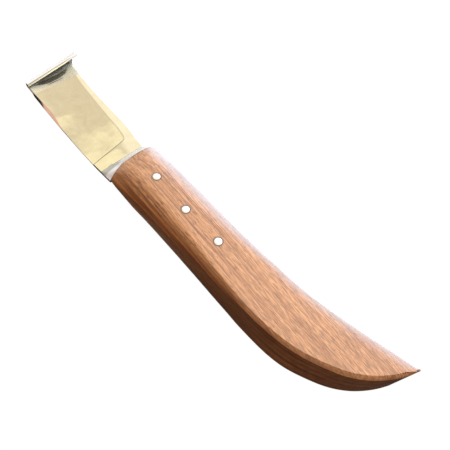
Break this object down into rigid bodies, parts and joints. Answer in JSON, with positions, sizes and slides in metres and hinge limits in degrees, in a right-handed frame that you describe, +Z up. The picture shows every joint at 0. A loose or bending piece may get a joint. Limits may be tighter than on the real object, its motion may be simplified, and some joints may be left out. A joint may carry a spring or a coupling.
{
  "type": "hook knife",
  "caption": "Farrier-style hook knife: flat hollow-ground blade with an upturned curled tip, flared bolster and a pinned, curved wooden handle with a pointed butt.",
  "frame": {"origin": "centre of the bounding box in plan, on the flat back face of the handle that the knife lies on", "axes": "+X along the blade from the butt to the hook, +Y towards the cutting edge and the belly of the handle, +Z up out of the broad face that shows the pins, the way the tip curls"},
  "size_m": [0.1998, 0.0416, 0.022],
  "materials": {
    "blade": "mirror-polished steel with light buffing marks",
    "handle": "straight-grained hardwood, oiled satin",
    "pin_front": "filed flush and polished",
    "pin_middle": "filed flush and polished",
    "pin_rear": "filed flush and polished",
    "tang_epoxy_bed": "cured epoxy, hidden"
  },
  "bodies": {
    "root": {"blade": "blade", "handle": "handle", "pin_front": "pin_front", "pin_middle": "pin_middle", "pin_rear": "pin_rear", "tang_epoxy_bed": "tang_epoxy_bed"}
  },
  "joints": []
}
